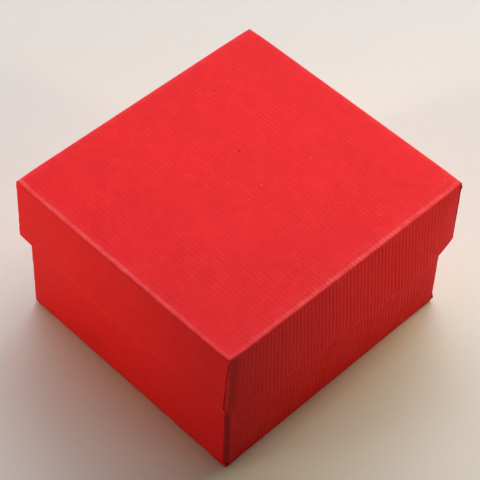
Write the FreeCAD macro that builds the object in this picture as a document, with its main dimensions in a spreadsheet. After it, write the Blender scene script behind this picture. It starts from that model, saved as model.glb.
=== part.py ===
import FreeCAD, Part
import os

import Sketcher

# A rigid paper-covered gift box with a lift-off lid, closed.
# Millimetres. Origin: centre of the underside. +Z up, Y along the longer side.
# Lid walls bow outward: straight along the top fold, a shallow arc along the lower edge.

doc = FreeCAD.newDocument("gift_box")
sheet = doc.addObject("Spreadsheet::Sheet", "dims")

DIMS = [
    # lid, outside
    ("lid_x", 82.0),           # across the shorter side, at the top fold
    ("lid_y", 88.0),           # along the longer side, at the top fold
    ("box_z", 52.0),           # closed height
    ("skirt", 23.2),           # depth of the lid walls
    ("bow_x", 2.6),            # outward bow of the two long lid walls at the lower edge
    ("bow_y", 0.8),            # outward bow of the two short lid walls at the lower edge
    ("fold_round", 0.8),       # rounding of the lid's top fold, outside
    ("fold_inner", 0.6),       # the same fold, inside face of the paper
    ("board_round", 0.5),      # rounding of the lid board under the fold
    # base, outside
    ("base_x", 78.2),
    ("base_y", 84.2),
    ("base_z", 50.4),
    ("base_round", 0.4),       # rounding of the base's lower fold
    # layers
    ("paper", 0.20),           # covering paper
    ("stay", 0.10),            # corner stay paper
    ("glue", 0.02),            # glue line between curved layers of the lid
    ("board", 1.0),            # greyboard
    ("lining", 0.14),          # lining paper
    ("lid_turn", 14.0),        # covering turned in over the lid's lower edge
    ("base_turn", 15.0),       # covering turned in over the base's rim
    ("stay_leg", 9.0),         # width of a corner stay on each wall
    # loose pad
    ("pad_x", 74.4),
    ("pad_y", 80.4),
    ("pad_gap", 0.06),         # between the pad and the floor lining
    ("pad_cloth", 0.5),        # cloth on the top and sides
    ("pad_under", 0.3),        # cloth turned under the card
    ("pad_hem", 9.0),          # width of the turned-under cloth
    ("pad_card", 0.8),
    ("pad_foam", 5.0),
    ("pad_round", 0.6),        # rounding of the pad's top edge
]
D = dict(DIMS)
for row, (alias, value) in enumerate(DIMS, 1):
    sheet.set("A%d" % row, alias)
    sheet.set("B%d" % row, repr(value))
    sheet.setAlias("B%d" % row, alias)
doc.recompute()


def bind(obj, prop, text):
    """Binds a property to the sheet; words that are aliases get the sheet's name."""
    out, word = "", ""
    for ch in text + " ":
        if ch.isalnum() or ch == "_":
            word += ch
            continue
        out += ("dims." + word if word in D else word) + ch
        word = ""
    obj.setExpression(prop, out.strip())


def box(name, size, low):
    """A box of three sizes with its lowest corner at low; both are sheet expressions."""
    b = doc.addObject("Part::Box", name)
    for prop, text in zip(("Length", "Width", "Height"), size):
        bind(b, prop, text)
    for axis, text in zip("xyz", low):
        bind(b, "Placement.Base." + axis, text)
    return b


def slab(name, sx, sy, off, low, high):
    """A box centred on Z: sides sx, sy drawn in by off, from height low to high."""
    return box(
        name,
        ("(%s) - 2 * (%s)" % (sx, off), "(%s) - 2 * (%s)" % (sy, off), "(%s) - (%s)" % (high, low)),
        ("-((%s) / 2 - (%s))" % (sx, off), "-((%s) / 2 - (%s))" % (sy, off), low),
    )


def cut(name, base, tool):
    c = doc.addObject("Part::Cut", name)
    c.Base, c.Tool = base, tool
    return c


def common(name, base, tool):
    c = doc.addObject("Part::Common", name)
    c.Base, c.Tool = base, tool
    return c


def fuse(name, shapes):
    c = doc.addObject("Part::MultiFuse", name)
    c.Shapes = shapes
    c.Refine = True
    return c


def rounded(name, base, radius, pick):
    """Rounds the edges of base that pick() chooses."""
    doc.recompute()
    f = doc.addObject("Part::Fillet", name)
    f.Base = base
    f.Edges = [(i, D[radius], D[radius]) for i, e in enumerate(base.Shape.Edges, 1) if pick(e)]
    return f


# ---------------------------------------------------------------- lid outlines and lofts

def outline(name, off_text, off, z_text, bowed):
    """The lid's outline drawn in by off, at one height: straight edges or four arcs."""
    hx, hy = D["lid_x"] / 2 - off, D["lid_y"] / 2 - off
    pts = [(-hx, -hy), (hx, -hy), (hx, hy), (-hx, hy)]
    vec = [FreeCAD.Vector(x, y, 0) for x, y in pts]
    sk = doc.addObject("Sketcher::SketchObject", name)
    names = []                                       # driven sizes: constraint, expression
    if not bowed:
        for i in range(4):
            sk.addGeometry(Part.LineSegment(vec[i], vec[(i + 1) % 4]), False)
    else:
        sag = (D["bow_y"], D["bow_x"]) * 2
        for i in range(4):
            a, b = vec[i], vec[(i + 1) % 4]
            out = ((a + b) * 0.5).normalize()
            sk.addGeometry(Part.Arc(a, (a + b) * 0.5 + out * sag[i], b), False)
    for i in range(4):
        sk.addConstraint(Sketcher.Constraint("Coincident", i, 2, (i + 1) % 4, 1))
    kind = ("Horizontal", "Vertical", "Horizontal", "Vertical")
    for i in range(4):
        if bowed:
            sk.addConstraint(Sketcher.Constraint(kind[i], i, 1, i, 2))
        else:
            sk.addConstraint(Sketcher.Constraint(kind[i], i))
    for label, args, text in (
        ("left", ("DistanceX", 0, 1, -1, 1, hx), "lid_x / 2 - (%s)" % off_text),
        ("front", ("DistanceY", 0, 1, -1, 1, hy), "lid_y / 2 - (%s)" % off_text),
        ("right", ("DistanceX", -1, 1, 2, 1, hx), "lid_x / 2 - (%s)" % off_text),
        ("back", ("DistanceY", -1, 1, 2, 1, hy), "lid_y / 2 - (%s)" % off_text),
    ):
        k = sk.addConstraint(Sketcher.Constraint(*args))
        sk.renameConstraint(k, label)
        names.append((label, text))
    if bowed:
        for i in range(4):
            half = (hx, hy)[i % 2]
            s = ("bow_y", "bow_x")[i % 2]
            radius = (half ** 2 + D[s] ** 2) / (2 * D[s])
            k = sk.addConstraint(Sketcher.Constraint("Radius", i, radius))
            label = "arc%d" % i
            sk.renameConstraint(k, label)
            chord = "(%s / 2 - (%s))" % (("lid_x", "lid_y")[i % 2], off_text)
            names.append((label, "(%s * %s + %s * %s) / (2 * %s)" % (chord, chord, s, s, s)))
    for label, text in names:
        bind(sk, "Constraints." + label, text)
    bind(sk, "Placement.Base.z", z_text)
    return sk


def lid_form(name, off_text, off):
    """A solid of the lid's form drawn in by off on all four sides, over the whole skirt."""
    top = outline(name + "_top", off_text, off, "box_z", False)
    low = outline(name + "_low", off_text, off, "box_z - skirt", True)
    loft = doc.addObject("Part::Loft", name)
    loft.Sections = [top, low]
    loft.Solid, loft.Ruled, loft.Closed = True, True, False
    return loft


paper, glue, stay, board, lining = (D[k] for k in ("paper", "glue", "stay", "board", "lining"))
# layers of a lid wall, from the outside in
LAYERS = {
    "outer": ("0", 0.0),
    "cover_in": ("paper", paper),
    "stay_out": ("paper + glue", paper + glue),
    "stay_in": ("paper + glue + stay", paper + glue + stay),
    "board_out": ("paper + 2 * glue + stay", paper + 2 * glue + stay),
    "board_in": ("paper + 2 * glue + stay + board", paper + 2 * glue + stay + board),
    "turn_out": ("paper + 3 * glue + stay + board", paper + 3 * glue + stay + board),
    "turn_in": ("2 * paper + 3 * glue + stay + board", 2 * paper + 3 * glue + stay + board),
    "lining_in": ("paper + 3 * glue + stay + board + lining", paper + 3 * glue + stay + board + lining),
}
form = {}
for key in LAYERS:
    form[key] = lid_form("lid_form_" + key, *LAYERS[key])
doc.recompute()

WIDE_X, WIDE_Y = "lid_x + 40", "lid_y + 40"      # wider than the lid anywhere
B_OUT = LAYERS["board_out"][0]
B_IN = LAYERS["board_in"][0]
LOW = "(box_z - skirt)"
TOP_UNDER = "(box_z - (%s) - board)" % B_OUT         # underside of the lid's top board

# ---------------------------------------------------------------- lid boards

top_blank = slab("lid_top_blank", "lid_x", "lid_y", B_OUT, TOP_UNDER, "box_z - (%s)" % B_OUT)
lid_top = rounded(
    "lid_top_board", top_blank, "board_round",
    lambda e: e.BoundBox.ZMin > D["box_z"] - LAYERS["board_out"][1] - 1e-3)

ring = cut("lid_wall_ring", form["board_out"], form["board_in"])
WALL_LOW, WALL_HIGH = LOW + " + paper + glue", TOP_UNDER
SEAM = "(lid_x / 2 - (%s))" % B_IN                   # upright joint between neighbouring walls
walls = {}
for name, size_x, low_x, low_y in (
    ("right", "20", SEAM, "-(lid_y / 2 + 20)"),
    ("left", "20", "-%s - 20" % SEAM, "-(lid_y / 2 + 20)"),
):
    b = box("lid_wall_cutter_" + name, (size_x, WIDE_Y, "(%s) - (%s)" % (WALL_HIGH, WALL_LOW)), (low_x, low_y, WALL_LOW))
    walls[name] = common("lid_wall_board_" + name, ring, b)
for name, low_y in (("front", "-(lid_y / 2 + 20)"), ("back", "0")):
    b = box("lid_wall_cutter_" + name, ("2 * " + SEAM, "lid_y / 2 + 20", "(%s) - (%s)" % (WALL_HIGH, WALL_LOW)),
            ("-" + SEAM, low_y, WALL_LOW))
    walls[name] = common("lid_wall_board_" + name, ring, b)

# ---------------------------------------------------------------- lid corner stays

stay_ring = cut("lid_stay_ring", form["stay_out"], form["stay_in"])
corner_boxes = []
for i, (cx, cy) in enumerate(((1, 1), (-1, 1), (-1, -1), (1, -1))):
    corner_boxes.append(box(
        "lid_stay_cutter_%d" % i,
        ("20", "20", "(%s) - (%s)" % (WALL_HIGH, WALL_LOW)),
        ("lid_x / 2 - stay_leg" if cx > 0 else "-(lid_x / 2 - stay_leg) - 20",
         "lid_y / 2 - stay_leg" if cy > 0 else "-(lid_y / 2 - stay_leg) - 20",
         WALL_LOW)))
stay_cutter = doc.addObject("Part::Compound", "lid_stay_cutters")
stay_cutter.Links = corner_boxes
lid_stays = common("lid_corner_stays", stay_ring, stay_cutter)

# ---------------------------------------------------------------- lid covering and lining

outer_round = rounded(
    "lid_cover_outer", form["outer"], "fold_round",
    lambda e: e.BoundBox.ZMin > D["box_z"] - 1e-3)
inner_cap = slab("lid_cover_cap", WIDE_X, WIDE_Y, "0", LOW + " - 1", "box_z - paper")
inner_blank = common("lid_cover_inner_blank", form["cover_in"], inner_cap)
inner_round = rounded(
    "lid_cover_inner", inner_blank, "fold_inner",
    lambda e: e.BoundBox.ZMin > D["box_z"] - D["paper"] - 1e-3)
skin = cut("lid_cover_skin", outer_round, inner_round)
lip_ring = cut("lid_lip_ring", form["outer"], form["turn_in"])
lip = common("lid_lip", lip_ring, slab("lid_lip_band", WIDE_X, WIDE_Y, "0", LOW + " - 1", LOW + " + paper"))
turn_ring = cut("lid_turn_ring", form["turn_out"], form["turn_in"])
turn = common("lid_turn", turn_ring, slab("lid_turn_band", WIDE_X, WIDE_Y, "0", LOW + " - 1", LOW + " + lid_turn"))
lid_wrap = fuse("lid_wrap", [skin, lip, turn])

LINE_TOP = TOP_UNDER
line_outer = common("lid_lining_outer", form["turn_out"],
                    slab("lid_lining_band", WIDE_X, WIDE_Y, "0", LOW + " + lid_turn", LINE_TOP))
line_inner = common("lid_lining_hollow", form["lining_in"],
                    slab("lid_lining_void", WIDE_X, WIDE_Y, "0", LOW + " + lid_turn - 1", LINE_TOP + " - lining"))
lid_lining = cut("lid_lining", line_outer, line_inner)

# ---------------------------------------------------------------- base boards

S_OUT, S_IN = "paper", "paper + stay"                # stays sit between covering and boards
BB_OUT, BB_IN = "(paper + stay)", "(paper + stay + board)"
BX, BY = "base_x", "base_y"
FLOOR = "(paper + board)"                            # top of the bottom board
RIM = "(base_z - paper)"                             # top of the wall boards
base_bottom = slab("base_bottom_board", BX, BY, BB_OUT, "paper", FLOOR)
base_walls = {
    "right": box("base_wall_board_right", ("board", "base_y - 2 * " + BB_OUT, RIM + " - " + FLOOR),
                 ("base_x / 2 - " + BB_IN, "-(base_y / 2 - %s)" % BB_OUT, FLOOR)),
    "left": box("base_wall_board_left", ("board", "base_y - 2 * " + BB_OUT, RIM + " - " + FLOOR),
                ("-(base_x / 2 - %s)" % BB_OUT, "-(base_y / 2 - %s)" % BB_OUT, FLOOR)),
    "front": box("base_wall_board_front", ("base_x - 2 * " + BB_IN, "board", RIM + " - " + FLOOR),
                 ("-(base_x / 2 - %s)" % BB_IN, "-(base_y / 2 - %s)" % BB_OUT, FLOOR)),
    "back": box("base_wall_board_back", ("base_x - 2 * " + BB_IN, "board", RIM + " - " + FLOOR),
                ("-(base_x / 2 - %s)" % BB_IN, "base_y / 2 - " + BB_IN, FLOOR)),
}

# ---------------------------------------------------------------- base corner stays

base_stay_ring = cut("base_stay_ring",
                     slab("base_stay_outer", BX, BY, S_OUT, FLOOR, RIM),
                     slab("base_stay_inner", BX, BY, S_IN, FLOOR + " - 1", RIM + " + 1"))
corner_boxes = []
for i, (cx, cy) in enumerate(((1, 1), (-1, 1), (-1, -1), (1, -1))):
    corner_boxes.append(box(
        "base_stay_cutter_%d" % i, ("20", "20", "base_z"),
        ("base_x / 2 - stay_leg" if cx > 0 else "-(base_x / 2 - stay_leg) - 20",
         "base_y / 2 - stay_leg" if cy > 0 else "-(base_y / 2 - stay_leg) - 20",
         "0")))
base_stay_cutter = doc.addObject("Part::Compound", "base_stay_cutters")
base_stay_cutter.Links = corner_boxes
base_stays = common("base_corner_stays", base_stay_ring, base_stay_cutter)

# ---------------------------------------------------------------- base covering and lining

TURN_LOW = "(base_z - base_turn)"
cover = rounded("base_cover_outer", slab("base_cover_blank", BX, BY, "0", "0", "base_z"), "base_round",
                lambda e: e.BoundBox.ZMax < 1e-3)
cover = cut("base_cover_a", cover, slab("base_hollow_low", BX, BY, "paper", "paper", TURN_LOW))
cover = cut("base_cover_b", cover, slab("base_hollow_mouth", BX, BY, BB_IN + " + paper", TURN_LOW, "base_z + 1"))
groove = cut("base_groove",
             slab("base_groove_outer", BX, BY, "paper", TURN_LOW, RIM),
             slab("base_groove_inner", BX, BY, BB_IN, TURN_LOW + " - 1", RIM + " + 1"))
base_wrap = cut("base_wrap", cover, groove)

base_lining = cut("base_lining",
                  slab("base_lining_outer", BX, BY, BB_IN, FLOOR, TURN_LOW),
                  slab("base_lining_hollow", BX, BY, BB_IN + " + lining", FLOOR + " + lining", TURN_LOW + " + 1"))

# ---------------------------------------------------------------- loose pad

PAD0 = "(paper + board + lining + pad_gap)"
CARD0 = "(%s + pad_under)" % PAD0
FOAM0 = "(%s + pad_card)" % CARD0
FOAM1 = "(%s + pad_foam)" % FOAM0
PADTOP = "(%s + pad_cloth)" % FOAM1
pad_card = slab("pad_card", "pad_x", "pad_y", "pad_cloth", CARD0, FOAM0)
pad_foam = slab("pad_foam", "pad_x", "pad_y", "pad_cloth", FOAM0, FOAM1)
pad_blank = rounded("pad_cover_outer", slab("pad_cover_blank", "pad_x", "pad_y", "0", PAD0, PADTOP), "pad_round",
                    lambda e: abs(e.BoundBox.ZMin - e.BoundBox.ZMax) < 1e-6 and e.BoundBox.ZMin > 5)
pad_cover = cut("pad_cover_a", pad_blank, slab("pad_cover_hollow", "pad_x", "pad_y", "pad_cloth", CARD0, FOAM1))
pad_cover = cut("pad_cover", pad_cover,
                slab("pad_cover_opening", "pad_x", "pad_y", "pad_cloth + pad_hem", PAD0 + " - 1", CARD0 + " + 0.1"))

doc.recompute()

NODES = {
    "lid_top_board": lid_top,
    "lid_wall_board_front": walls["front"],
    "lid_wall_board_right": walls["right"],
    "lid_wall_board_back": walls["back"],
    "lid_wall_board_left": walls["left"],
    "lid_corner_stays": lid_stays,
    "lid_wrap": lid_wrap,
    "lid_lining": lid_lining,
    "base_bottom_board": base_bottom,
    "base_wall_board_front": base_walls["front"],
    "base_wall_board_right": base_walls["right"],
    "base_wall_board_back": base_walls["back"],
    "base_wall_board_left": base_walls["left"],
    "base_corner_stays": base_stays,
    "base_wrap": base_wrap,
    "base_lining": base_lining,
    "pad_card": pad_card,
    "pad_foam": pad_foam,
    "pad_cover": pad_cover,
}

SOLIDS = {"lid_corner_stays": 4, "base_corner_stays": 4}

for obj in doc.Objects:
    if "Invalid" in obj.State or "Error" in obj.State:
        raise RuntimeError("%s is in state %s" % (obj.Name, obj.State))
for label, obj in NODES.items():
    obj.Label = label
    if obj.Shape.isNull() or not obj.Shape.isValid():
        raise RuntimeError("%s has no valid shape" % label)
    want = SOLIDS.get(label, 1)
    if len(obj.Shape.Solids) != want:
        raise RuntimeError("%s has %d solids, not %d" % (label, len(obj.Shape.Solids), want))

os.makedirs("parts", exist_ok=True)
for label, obj in NODES.items():
    obj.Shape.exportStep(os.path.join("parts", label + ".step"))
    bb = obj.Shape.BoundBox
    print("%-24s %9.2f mm3  x %7.2f %7.2f  y %7.2f %7.2f  z %6.2f %6.2f  solids %d" % (
        label, obj.Shape.Volume, bb.XMin, bb.XMax, bb.YMin, bb.YMax, bb.ZMin, bb.ZMax, len(obj.Shape.Solids)))
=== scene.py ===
import math

import bmesh
import bpy
import numpy as np
from mathutils import Matrix, Vector


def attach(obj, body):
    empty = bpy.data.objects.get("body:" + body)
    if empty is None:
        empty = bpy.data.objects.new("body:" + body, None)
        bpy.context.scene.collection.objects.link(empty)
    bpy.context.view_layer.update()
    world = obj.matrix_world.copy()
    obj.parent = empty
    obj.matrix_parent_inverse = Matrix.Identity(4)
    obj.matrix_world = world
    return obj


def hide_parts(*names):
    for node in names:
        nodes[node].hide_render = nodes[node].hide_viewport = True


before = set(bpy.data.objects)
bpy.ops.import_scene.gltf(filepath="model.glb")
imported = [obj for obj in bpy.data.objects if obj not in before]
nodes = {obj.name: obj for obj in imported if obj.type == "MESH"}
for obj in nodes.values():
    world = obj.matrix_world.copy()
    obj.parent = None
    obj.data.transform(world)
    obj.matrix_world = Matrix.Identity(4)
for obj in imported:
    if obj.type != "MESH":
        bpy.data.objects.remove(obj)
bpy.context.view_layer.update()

MM = 0.001  # shapes below are worked out in millimetres

# ---------------------------------------------------------------- measures
LID_HX, LID_HY = 41.0, 44.0        # half size of the lid at its top fold
LID_TOP, LID_LOW = 52.0, 28.8      # lid panel and lid edge
BASE_HX, BASE_HY = 39.1, 42.1      # half size of the base
BASE_RIM = 50.4
PITCH = 88.0 / 66.0                # ribs of the covering paper
PAPER = 0.12                       # thickness of the covering paper


def ease(x, a, b):
    t = np.clip((np.asarray(x, float) - a) / (b - a), 0.0, 1.0)
    return t * t * (3.0 - 2.0 * t)


def waves(u, v, seed, short, long, count=9):
    """Smooth uneven surface, about -1 to 1, with wavelengths from short to long."""
    g = np.random.RandomState(seed)
    out = np.zeros(np.broadcast(u, v).shape)
    for _ in range(count):
        k = 2.0 * math.pi / math.exp(g.uniform(math.log(short), math.log(long)))
        a, p = g.uniform(0, 2 * math.pi, 2)
        out = out + np.sin(k * (math.cos(a) * u + math.sin(a) * v) + p)
    return out / math.sqrt(count / 2.0) / 1.5


def curve(xs, ys, x, ends=1.4):
    """Smooth curve through the points (xs, ys), evaluated at x."""
    xs, ys, x = (np.asarray(a, float) for a in (xs, ys, x))
    h = np.diff(xs)
    d = np.diff(ys) / h
    m = np.empty_like(ys)
    m[1:-1] = (d[:-1] * h[1:] + d[1:] * h[:-1]) / (h[1:] + h[:-1])
    m[0], m[-1] = ends * d[0], ends * d[-1]
    x = np.clip(x, xs[0], xs[-1])
    i = np.clip(np.searchsorted(xs, x) - 1, 0, len(xs) - 2)
    t = (x - xs[i]) / h[i]
    return ((2 * t**3 - 3 * t**2 + 1) * ys[i] + (t**3 - 2 * t**2 + t) * h[i] * m[i]
            + (3 * t**2 - 2 * t**3) * ys[i + 1] + (t**3 - t**2) * h[i] * m[i + 1])


# The lid's walls have sprung outward towards their free edge. These are the
# offsets along that edge, on the two longer walls.
BOW_Y = (-44.0, -28.0, -14.0, 0.0, 14.0, 25.0, 34.0, 44.0)
BOW_X = (0.0, 1.95, 2.35, 2.6, 2.85, 2.8, 2.0, 0.0)
CORNERS = {(1, -1): (-0.12, -0.30), (1, 1): (0.50, -0.10),
           (-1, -1): (-0.50, 0.05), (-1, 1): (-0.25, 0.30)}


def lid_warp(p):
    """Moves the points of a straight lid to those of the sprung one."""
    p = np.array(p, float)
    x, y, z = p[..., 0].copy(), p[..., 1].copy(), p[..., 2]
    t = np.clip((LID_TOP - z) / (LID_TOP - LID_LOW), 0.0, 1.0)
    u, v = np.clip(x / LID_HX, -1, 1), np.clip(y / LID_HY, -1, 1)
    wx = np.sign(u) * ease(np.abs(u), 0.45, 0.9)
    wy = np.sign(v) * ease(np.abs(v), 0.45, 0.9)
    p[..., 0] += wx * np.where(x > 0, curve(BOW_Y, BOW_X, y), curve(BOW_Y, BOW_X, -y)) * t
    p[..., 1] += wy * 0.75 * (1.0 - u * u) * t
    # the folds at the top stand a little fuller between their crushed corners
    p[..., 0] += wx * np.where(x > 0, 0.34, 0.20) * (1.0 - np.exp(-((LID_HY - np.abs(y)).clip(0) / 3.5) ** 2)) * (1.0 - t)
    p[..., 1] += wy * np.where(y > 0, 0.23, 0.34) * (1.0 - np.exp(-((LID_HX - np.abs(x)).clip(0) / 3.5) ** 2)) * (1.0 - t)
    for (sx, sy), (dx, dy) in CORNERS.items():
        w = 0.25 * (1 + sx * u) * (1 + sy * v) * t
        p[..., 0] += dx * w
        p[..., 1] += dy * w
    return p


def base_place(p):
    """Turns a covering drawn panel-up into the base's, which stands on its panel."""
    p = np.array(p, float)
    p[..., 2] = BASE_RIM - p[..., 2]
    # one wall spreads a little towards its foot
    out = 0.38 - 0.24 * np.clip(p[..., 1] / BASE_HY, -1, 1)
    p[..., 0] += out * ease(p[..., 0] / BASE_HX, 0.45, 0.9) * np.clip(1.0 - p[..., 2] / 27.0, 0.0, 1.0)
    return p


# ---------------------------------------------------------------- meshes
class Sheet:
    """A surface made of grids of points, joined where their points meet."""

    def __init__(self):
        self.points, self.faces, self.values, self.count = [], [], {"fold": [], "rib": [], "painted_seam_shade": []}, 0

    def patch(self, p, fold=0.0, rib=0.0, flip=False, loop=False, painted_seam_shade=0.0):
        p = np.asarray(p, float)
        values = {"fold": fold, "rib": rib, "painted_seam_shade": painted_seam_shade}
        for key, v in values.items():
            values[key] = np.broadcast_to(np.asarray(v, float), p.shape[:2])
        if loop:
            p = np.concatenate([p, p[:, :1]], 1)
            values = {key: np.concatenate([v, v[:, :1]], 1) for key, v in values.items()}
        rows, cols = p.shape[:2]
        k = self.count + np.arange(rows * cols).reshape(rows, cols)
        q = np.stack([k[:-1, :-1], k[1:, :-1], k[1:, 1:], k[:-1, 1:]], -1).reshape(-1, 4)
        self.faces += (q[:, ::-1] if flip else q).tolist()
        self.points.append(p.reshape(-1, 3))
        for key, v in values.items():
            self.values[key].append(v.reshape(-1))
        self.count += rows * cols
        return k

    def cap(self, ring, flip=False):
        """Closes a ring of points already in the sheet."""
        ring = [int(i) for i in ring]
        self.faces.append(ring[::-1] if flip else ring)

    def make(self, name, materials, thick=0.0, weld=0.002, sharp=40.0, bevel=0.0):
        mesh = bpy.data.meshes.new(name)
        mesh.from_pydata((np.concatenate(self.points) * MM).tolist(), [], self.faces)
        for key, parts in self.values.items():
            a = mesh.attributes.new(key, "FLOAT", "POINT")
            a.data.foreach_set("value", np.concatenate(parts).astype(np.float32))
        bm = bmesh.new()
        bm.from_mesh(mesh)
        bmesh.ops.remove_doubles(bm, verts=bm.verts, dist=weld * MM)
        bmesh.ops.dissolve_degenerate(bm, edges=bm.edges, dist=0.2 * weld * MM)
        bm.to_mesh(mesh)
        bm.free()
        obj = bpy.data.objects.new(name, mesh)
        bpy.context.scene.collection.objects.link(obj)
        for m in materials:
            mesh.materials.append(m)
        if thick:
            m = obj.modifiers.new("thickness", "SOLIDIFY")
            m.thickness, m.offset, m.use_rim = thick * MM, -1.0, True
            m.use_quality_normals = True
            m.material_offset_rim = 1 if len(materials) > 1 else 0
        if bevel:
            m = obj.modifiers.new("edges", "BEVEL")
            m.width, m.segments, m.limit_method = bevel * MM, 2, "ANGLE"
            m.angle_limit = math.radians(60)
        settle(obj)
        obj.data.shade_smooth()
        obj.data.set_sharp_from_angle(angle=math.radians(sharp))
        return obj


def settle(obj):
    """Applies an object's modifiers to its mesh."""
    if obj.modifiers:
        graph = bpy.context.evaluated_depsgraph_get()
        old, name = obj.data, obj.data.name
        mesh = bpy.data.meshes.new_from_object(obj.evaluated_get(graph))
        obj.modifiers.clear()
        obj.data = mesh
        bpy.data.meshes.remove(old)
        mesh.name = name
    return obj


# ---------------------------------------------------------------- covering paper
def wrap(name, materials, hx, hy, top, low, r, inner, turn, place, seed,
         amp=0.0172, wall_rib=3.9, flap_amp=0.003, corner=0.70, tuck=0.20, trim=(0.45, 1.15), peel=0.08, flip=False, marks=(),
         painted_seam_shade_bands=(), nick=False, across=3.4, rub_and_highlight=1.0):
    """One sheet of ribbed paper over a tray, drawn with its panel at the top.

    A strip runs over the panel and down two walls, with a narrow tab round each
    upright corner. Two flaps cover the other walls and the tabs, and end in a cut
    edge at the corner. All four are folded round the tray's edge to the inside.
    """
    sheet = Sheet()
    step, rows_apart, rb = PITCH / 5.0, PITCH / 3.0, 0.35
    y0 = math.floor((hy - 1.75) / step) * step
    yi = np.arange(-round(y0 / step), round(y0 / step) + 1) * step
    x0 = hx - 1.8
    xi = np.linspace(-x0, x0, int(round(2 * x0 / across)) + 1)
    ends_a, ends_b = 12, 5
    wall_top, wall_low = top - r, low + rb

    def side(fine):
        """Rows of one wall, from the panel's fold down and round to the inside."""
        rows = []  # offset inward, height, normal out, normal up, length, kind
        for a in np.linspace(0, math.pi / 2, 7)[1:]:
            rows.append((r - r * math.sin(a), wall_top + r * math.cos(a), math.sin(a), math.cos(a), hy - r + r * a, 0))
        s0 = hy - r + r * math.pi / 2
        span = wall_top - wall_low
        near = [0.2, 0.45, 0.75, 1.1, 1.5, 2.1]
        if fine:
            mid = np.arange(math.ceil((s0 + 2.3) / rows_apart), math.floor((s0 + span - 2.3) / rows_apart) + 1) * rows_apart - s0
        else:
            mid = np.linspace(2.1, span - 2.1, int(round((span - 4.2) / 3.3)) + 1)[1:-1]
        ss = np.concatenate([near, mid, [span - d for d in near[::-1]]])
        for d in ss:
            rows.append((0.0, wall_top - d, 1.0, 0.0, s0 + d, 1))
        s1 = s0 + span
        for a in np.linspace(0, math.pi / 2, 5):
            rows.append((rb - rb * math.cos(a), wall_low - rb * math.sin(a), math.cos(a), -math.sin(a), s1 + rb * a, 2))
        s2 = s1 + rb * math.pi / 2 + inner - 2 * rb
        for a in np.linspace(0, math.pi / 2, 5):
            rows.append((inner - rb + rb * math.sin(a), wall_low - rb * math.cos(a), -math.sin(a), -math.cos(a), s2 + rb * a, 2))
        s3 = s2 + rb * math.pi / 2
        length = turn - rb
        count = int(round(length / (rows_apart if fine else 3.0)))
        for d in np.linspace(0, length, count + 1)[1:]:
            rows.append((inner, wall_low + d, -1.0, 0.0, s3 + d, 3))
        return np.array(rows)

    # ---- the strip over the panel and the two X walls
    a = side(False)
    kx = np.arange(1, ends_b + 1) / ends_b
    xe = x0 + (hx - r - x0) * kx
    xt = np.concatenate([-xe[::-1], xi, xe])
    n = len(a)
    o = np.concatenate([a[::-1, 0], np.full(len(xt), r), a[:, 0]])
    x = np.concatenate([-(hx - a[::-1, 0]), xt, hx - a[:, 0]])
    z = np.concatenate([a[::-1, 1], np.full(len(xt), top), a[:, 1]])
    nx = np.concatenate([-a[::-1, 2], np.zeros(len(xt)), a[:, 2]])
    nz = np.concatenate([a[::-1, 3], np.ones(len(xt)), a[:, 3]])
    kind = np.concatenate([a[::-1, 5], np.full(len(xt), -1), a[:, 5]]).astype(int)
    wall = kind == 1
    q = np.where(wall, ease(wall_top - z, 0.0, 0.32) * ease(z - wall_low, 0.0, 0.32), 0.0)
    ky = np.arange(1, ends_a + 1) / ends_a
    ye = y0 + (hy - o[:, None] - y0) * ky[None, :]
    # the tab: straight, round the corner, then under the flap
    flat = hy - tuck - corner - y0
    ex, ey = [], []
    for i in range(1, ends_a + 1):
        if i <= 3:
            ex.append(0.0), ey.append(y0 + flat * i / 3)
        elif i <= 8:
            t = math.pi / 2 * (i - 3) / 5
            ex.append(corner - corner * math.cos(t)), ey.append(hy - tuck - corner + corner * math.sin(t))
        else:
            ex.append(corner + 4.0 * (i - 8) / 4), ey.append(hy - tuck)
    ex, ey = np.array(ex), np.array(ey)
    sx = np.sign(x)
    ye = ye * (1 - q[:, None]) + ey[None, :] * q[:, None]
    xend = x[:, None] * (1 - q[:, None]) + (sx[:, None] * (hx - ex[None, :])) * q[:, None]
    Y = np.concatenate([-ye[:, ::-1], np.broadcast_to(yi, (len(x), len(yi))), ye], 1)
    X = np.concatenate([xend[:, ::-1], np.broadcast_to(x[:, None], (len(x), len(yi))), xend], 1)
    Z = np.broadcast_to(z[:, None], X.shape).copy()
    # ribs run along the strip; they are pressed flat towards its edges and at folds
    row_rib = np.select([kind == -1, kind == 0, kind == 1, kind == 2], [1.0, 0.8, wall_rib, 0.25], 0.5)
    path = np.where(kind == -1, x, sx * (hx + np.abs(top - z)))
    press = 0.90 + 0.22 * waves(path[:, None], 1.6 * Y, seed, 11, 45, 14)
    press = np.clip(press, 0.15, 1.35)
    drift = 0.10 * waves(path[:, None], Y, seed + 20, 18, 60) + 0.07 * waves(0.12 * path[:, None], Y, seed + 21, 2.4, 7.0, 12)
    press = np.clip(press + 0.20 * waves(0.12 * path[:, None], Y, seed + 22, 2.2, 6.0, 12), 0.10, 1.5)
    rolled = np.where(kind == -1, 0.25 + 0.75 * ease(x + hx, 1.0, 8.5), 1.0)[:, None]
    rolled = rolled * np.where((kind == -1)[:, None], 0.25 + 0.75 * ease(hy - Y, 2.0, 10.0), 1.0)
    rib = rolled * np.cos(2 * math.pi * (Y + drift) / PITCH) * row_rib[:, None] * press * (1 - ease(np.abs(Y), y0 - 1.1, y0 + 0.05))
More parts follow.
